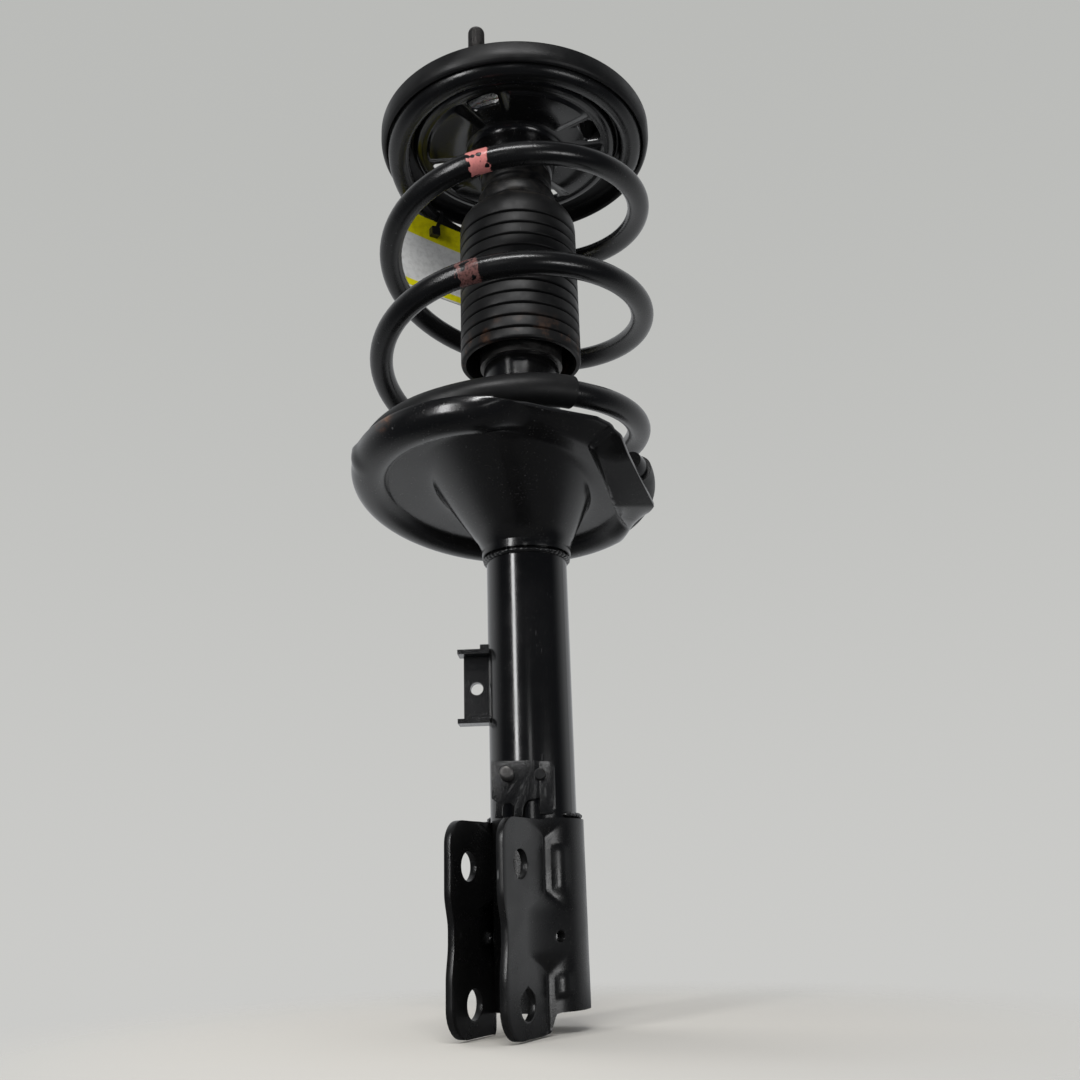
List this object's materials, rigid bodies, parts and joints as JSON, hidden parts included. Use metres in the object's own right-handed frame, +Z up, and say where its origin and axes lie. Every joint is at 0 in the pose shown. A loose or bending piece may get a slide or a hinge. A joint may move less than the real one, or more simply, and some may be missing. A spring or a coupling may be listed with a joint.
{
  "type": "suspension strut assembly",
  "caption": "MacPherson strut: damper tube with clamp ears for the knuckle, coil spring on a tilted seat, pleated dust boot, and an upper seat that swivels under a lobed, studded mount.",
  "frame": {"origin": "centre of the circle of mount studs, on the strut axis, at the face of the mount plate that bolts up under the car body", "axes": "+Z up along the strut axis, out of the mount's studs; -Y the way the knuckle bracket's ears point; +X completes the right-handed set, along the clamp bolts"},
  "size_m": [0.1712, 0.1925, 0.573],
  "materials": {
    "damper_paint": "gloss black enamel",
    "bracket_paint": "gloss black dipped paint",
    "spring_coat": "semi-gloss black powder coat",
    "seat_paint": "gloss black dipped paint",
    "mount_paint": "satin black",
    "rubber": "matte black",
    "boot_rubber": "semi-matt black",
    "foam": "closed-cell polyurethane foam",
    "steel": "machined",
    "zinc_steel": "dull zinc-phosphate",
    "rod_chrome": "hard chrome, ground",
    "guide_alloy": "sintered, as pressed",
    "bush_bronze": "plain",
    "band_plastic": "filled PTFE",
    "cage_plastic": "natural nylon",
    "tag_card": "printed card, yellow and white",
    "tie_plastic": "black nylon"
  },
  "bodies": {
    "strut_body": {"reserve_tube": "damper_paint", "tube_base_cap": "damper_paint", "pressure_tube": "steel", "base_valve": "guide_alloy", "rod_guide": "guide_alloy", "guide_bush": "bush_bronze", "oil_seal": "rubber", "tube_top_cap": "zinc_steel", "lower_spring_seat": "seat_paint", "seat_weld": "damper_paint", "lower_spring_sleeve": "rubber", "knuckle_bracket": "bracket_paint", "bracket_inner_plate": "bracket_paint", "bracket_welds": "bracket_paint", "hose_bracket": "bracket_paint", "sensor_bracket": "bracket_paint", "sensor_stud": "zinc_steel", "sensor_rivet": "bracket_paint", "coil_spring": "spring_coat"},
    "upper_seat": {"upper_spring_seat": "seat_paint", "upper_spring_pad": "rubber", "bearing_lower_race": "steel", "dust_boot": "boot_rubber", "bump_stop": "foam", "bump_stop_cup": "zinc_steel", "hang_tag": "tag_card", "tag_tie": "tie_plastic"},
    "mount": {"mount_plate": "mount_paint", "mount_retainer": "mount_paint", "mount_rubber": "rubber", "mount_core": "zinc_steel", "mount_studs": "zinc_steel", "bearing_upper_race": "steel", "piston_rod": "rod_chrome", "piston": "steel", "piston_band": "band_plastic", "piston_nut": "zinc_steel", "rebound_stop": "steel", "rod_nut": "zinc_steel", "rod_washer": "zinc_steel"},
    "cage": {"bearing_cage": "cage_plastic", "bearing_balls": "steel"}
  },
  "joints": [
    {"name": "strut_stroke", "type": "slide", "parent": "strut_body", "child": "upper_seat", "axis": [0, 0, 1], "range_m": [-0.08, 0], "stiffness_N_per_m": 25000, "springref_m": 0.008, "deforming": ["coil_spring", "bump_stop"]},
    {"name": "mount_swivel", "type": "hinge", "parent": "upper_seat", "child": "mount", "pos_m": [0, 0, 0], "axis": [0, 0, 1], "continuous": true},
    {"name": "cage_roll", "type": "hinge", "parent": "upper_seat", "child": "cage", "pos_m": [0, 0, 0], "axis": [0, 0, 1], "continuous": true}
  ],
  "couplings": [
    {"joint": "cage_roll", "follows": "mount_swivel", "ratio": 0.5}
  ]
}
